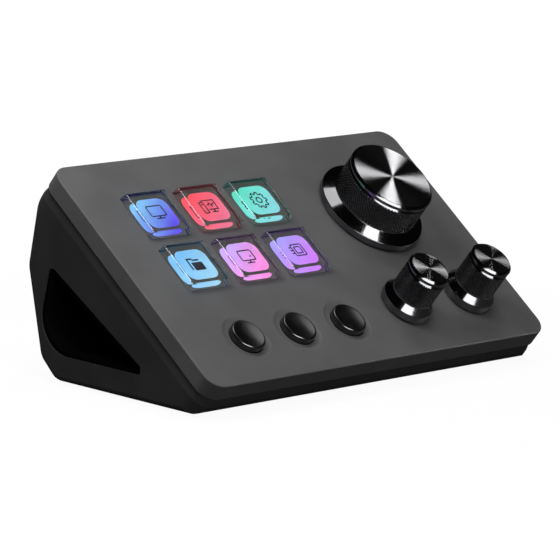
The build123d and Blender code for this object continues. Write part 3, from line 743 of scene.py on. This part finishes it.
def cutTeeth(bm, knob, root, low, high):
    # the uppermost row of the knurl, cut off by the slope under the groove
    step = 2 * math.pi / knob["around"]
    middle = high - (knobCut["grooveDeep"] - knobCut["knurlDeep"])
    apex = high - knobCut["grooveDeep"]

    def corner(radius, turn, level):
        return bm.verts.new((radius * math.cos(turn * step), radius * math.sin(turn * step), level))
    for tooth in range(knob["around"]):
        left, right = corner(root, tooth - 0.5, middle), corner(root, tooth + 0.5, middle)
        tip, foot = corner(knob["grip"], tooth, apex), corner(root, tooth, apex - low)
        for face in ((left, right, tip), (tip, right, foot), (left, tip, foot), (right, left, foot)):
            bm.faces.new(face)


knobMetal = blackAnodised("knobMetal", (0.08, 0.12), paint(116, 116, 118), paint(126, 126, 128))
# the knurl: the knob's own anodised metal in a darker colour, painted shade for the shade between its
# diamonds
knurlMetal = blackAnodised("knurlMetal", (0.2, 0.28), paint(98, 98, 100), paint(106, 106, 108))
diamondKnurl = knurlTree(knurlMetal)
for side, knob in knobs.items():
    spot = Vector(joints[f"{side}_knob_spin"]["pos_m"])
    place = faceMatrix(spot)
    top, grip, base = knob["height"], knob["grip"], knobCut["lift"]
    gripLow = base + knob["rim"] + knob["bevel"]
    grooveTop = top - knobCut["collar"]
    grooveLow = grooveTop - knobCut["grooveWide"]
    root = grip - knobCut["knurlDeep"]
    spunRadius = grip - knobCut["chamfer"] - knobCut["spunInset"]
    fine, gripRound = knobCut["fineRound"], knobCut["gripRound"]
    profile = softened([
        (knob["core"], top - knobCut["hollow"], 0),
        (knob["core"], base, knobCut["coreRound"]),
        (knob["flange"], base, knobCut["flangeRound"]),
        (knob["flange"], base + knob["rim"], knobCut["flangeRound"]),
        (root, gripLow, knobCut["bevelRound"]),
        (root, grooveLow - knobCut["grooveDeep"] + knobCut["knurlDeep"], 0),
        (grip - knobCut["grooveDeep"], grooveLow, fine),
        (grip - knobCut["grooveDeep"], grooveTop, fine),
        (grip, grooveTop, gripRound),
        (grip, top - knobCut["chamfer"], gripRound),
        (grip - knobCut["chamfer"], top, gripRound),
        (spunRadius, top, fine),
        (spunRadius, top - knobCut["spunDeep"], 0),
    ])
    spun = spunMetal(f"spunMetal_{side}", spot, knob["spunRough"])
    bm = bmesh.new()
    stack(bm, [circle(radius, level, knob["steps"]) for radius, level in profile])
    bm.faces.ensure_lookup_table()
    bm.faces[-1].material_index = 1
    rowStep = (grooveLow - gripLow - knobCut["grooveDeep"]) / knob["rows"]
    toothFoot = root - knobCut["knurlSink"]
    cutTeeth(bm, knob, toothFoot, rowStep / 2, grooveLow)
    turned = newPiece(f"{side}KnobTurned", bm, place, [knobMetal, spun], 35)
    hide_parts(f"{side}_knob")
    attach(turned, f"{side}_dial")
    knurl = fromTree(f"{side}KnobKnurl", diamondKnurl, {
        "Around": knob["around"], "Rows": knob["rows"], "Radius": toothFoot, "Depth": knobCut["knurlDeep"],
        "Low": gripLow + knobCut["knurlLow"], "High": grooveLow - knobCut["grooveDeep"],
    }, place)
    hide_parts(f"{side}_knob")
    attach(knurl, f"{side}_dial")
    print(side, "knob made, knurl faces:", len(knurl.data.polygons))


# ---- floor, light and camera

studio = {
    "floorSide": 60.0,
    "floorDark": (0.045, 0.045, 0.045, 1),
    "floorLight": (0.055, 0.055, 0.055, 1),
    "floorNear": 0.95,       # glow that the camera sees, near the keypad and far from it
    "floorFar": 1.0,
    "glowFrom": 0.12,        # distances between which it rises
    "glowTo": 0.45,
    "glossShare": 0.015,     # of that glow, in gloss
    "skySeen": 1.0,
    "skyDiffuse": 0.16,
    "skyGloss": 0.005,
}
lamps = {                    # two ends, width, radiance, which surfaces see it, and which pieces
    "frontHigh": {"ends": ((0.22, -1.44, 1.67), (0.68, -1.62, 1.36)), "wide": 0.35, "bright": 7.0,
                  "matt": False},
    "frontLow": {"ends": ((-1.4, -1.62, 0.72), (0.3, -2.25, 0.2)), "wide": 1.1, "bright": 5.2, "matt": False},
    "topGloss": {"ends": ((-0.05, 0.04, 0.63), (0.25, 0.04, 0.63)), "wide": 0.24, "bright": 2.6,
                 "matt": False},
    "topMatt": {"ends": ((-0.03, -0.02, 0.63), (0.27, -0.02, 0.63)), "wide": 0.25, "bright": 4.4,
                "gloss": False},
    "smallSheen": {"ends": ((0.1, 0.02, 0.61), (0.4, 0.0, 0.56)), "wide": 0.25, "bright": 1.2,
                   "matt": False, "only": ("leftKnob", "rightKnob")},
    "buttonSheen": {"ends": ((0.14, -0.02, 0.62), (0.42, -0.02, 0.56)), "wide": 0.3, "bright": 1.3,
                    "matt": False, "only": "roundButton"},
    "buttonRim": {"ends": ((-1.4, -1.62, 0.72), (0.1, -2.2, 0.3)), "wide": 0.8, "bright": 9.0,
                  "matt": False, "only": "roundButton"},
    "keySpark": {"ends": ((-0.36, -0.14, 0.54), (-0.36, 0.02, 0.54)), "wide": 0.16, "bright": 8.0,
                 "matt": False, "clear": False, "only": "clearCap"},
    "leftEdge": {"ends": ((-0.45, -0.2, 0.69), (-0.45, 0.04, 0.69)), "wide": 0.25, "bright": 19.0,
                 "matt": False, "only": "top_cover"},
    "frontEdge": {"ends": ((0.45, -0.65, 0.06), (0.68, -0.45, 0.06)), "wide": 0.1, "bright": 30.0,
                  "matt": False, "only": "top_cover"},
    "leftFill": {"ends": ((-0.12, -0.05, 0.2), (-0.12, 0.05, 0.2)), "wide": 0.1, "bright": 5.0,
                 "gloss": False},
    "highFill": {"ends": ((-0.5, -1.25, 1.8), (-0.5, -0.75, 1.8)), "wide": 0.5, "bright": 13.0,
                 "gloss": False},
    "lowFill": {"ends": ((-0.9, -1.1, 0.12), (-0.2, -1.5, 0.12)), "wide": 0.15, "bright": 6.0,
                "gloss": False},
    "backFill": {"ends": ((-0.6, 1.7, 0.7), (0.8, 1.7, 0.7)), "wide": 0.8, "bright": 3.0, "gloss": False},
}
camera = {
    "place": (-791.6, -740.6, 226.6),
    "turn": (79.412, -2.472, -46.245),
    "lens": 265.6,
    "sensor": 36.0,
}


def floorFinish():
    # matt and pale; a glow that only the camera, glass and faintly gloss see holds it white
    material, tree, shader, place = newFinish("paleFloor")
    tree.links.new(mixColours(tree, noise(tree, place, 400.0), studio["floorDark"], studio["floorLight"]),
                   shader.inputs["Base Color"])
    shader.inputs["Roughness"].default_value = 0.9
    shader.inputs["Specular IOR Level"].default_value = 0.1
    shader.inputs["Emission Color"].default_value = (1, 1, 1, 1)
    path = tree.nodes.new("ShaderNodeLightPath").outputs
    seen = maths(tree, "MAXIMUM", path["Is Camera Ray"], path["Is Transmission Ray"])
    seen = maths(tree, "MAXIMUM", seen, maths(tree, "MULTIPLY", path["Is Glossy Ray"], studio["glossShare"]))
    distance = vectorMaths(tree, "LENGTH", place, result="Value")
    glow = mapRange(tree, distance, studio["floorNear"], studio["floorFar"],
                    studio["glowFrom"], studio["glowTo"])
    tree.links.new(maths(tree, "MULTIPLY", seen, glow), shader.inputs["Emission Strength"])
    return material


bm = bmesh.new()
reach = studio["floorSide"] / 2
bm.faces.new([bm.verts.new(corner) for corner in roundedSquare(reach, reach, reach / 10, 0)])
floor = newPiece("studioFloor", bm, Matrix.Identity(4), [floorFinish()])

world = bpy.data.worlds.new("studioWorld")
bpy.context.scene.world = world
world.use_nodes = True
sky = world.node_tree
sky.nodes.clear()
path = sky.nodes.new("ShaderNodeLightPath").outputs
strength = maths(sky, "ADD", maths(sky, "MULTIPLY", path["Is Camera Ray"], studio["skySeen"]),
                 maths(sky, "MULTIPLY", path["Is Diffuse Ray"], studio["skyDiffuse"]))
strength = maths(sky, "ADD", strength, maths(sky, "MULTIPLY", path["Is Glossy Ray"], studio["skyGloss"]))
background = sky.nodes.new("ShaderNodeBackground")
background.inputs["Color"].default_value = (1, 1, 1, 1)
sky.links.new(strength, background.inputs["Strength"])
skyEnd = sky.nodes.new("ShaderNodeOutputWorld")
sky.links.new(background.outputs[0], skyEnd.inputs["Surface"])

middle = (cadLow + cadHigh) / 2
for name, lamp in lamps.items():
    first, second = (Vector(end) for end in lamp["ends"])
    data = bpy.data.lights.new(name, "AREA")
    data.shape = "RECTANGLE"
    data.size, data.size_y = (second - first).length, lamp["wide"]
    data.energy = lamp["bright"] * math.pi * data.size * data.size_y
    light = bpy.data.objects.new(name, data)
    bpy.context.scene.collection.objects.link(light)
    lampPlace = (first + second) / 2
    away = (lampPlace - middle).normalized()
    side = away.cross(second - first).normalized()
    turn = Matrix((side.cross(away), side, away)).transposed().to_4x4()
    light.matrix_world = Matrix.Translation(lampPlace) @ turn
    light.visible_glossy = lamp.get("gloss", True)
    light.visible_diffuse = lamp.get("matt", True)
    light.visible_transmission = lamp.get("clear", True)
    if "only" in lamp:       # it lights just the pieces whose names start so
        group = bpy.data.collections.new(name)
        for piece in bpy.context.scene.objects:
            if piece.name.startswith(lamp["only"]):
                group.objects.link(piece)
        light.light_linking.receiver_collection = group

view = bpy.data.cameras.new("productCamera")
view.lens, view.sensor_width = camera["lens"], camera["sensor"]
eye = bpy.data.objects.new("productCamera", view)
bpy.context.scene.collection.objects.link(eye)
eye.location = Vector(camera["place"]) * mm
eye.rotation_euler = [math.radians(angle) for angle in camera["turn"]]
bpy.context.scene.camera = eye
bpy.context.scene.view_settings.view_transform = "Standard"
print("studio ready")
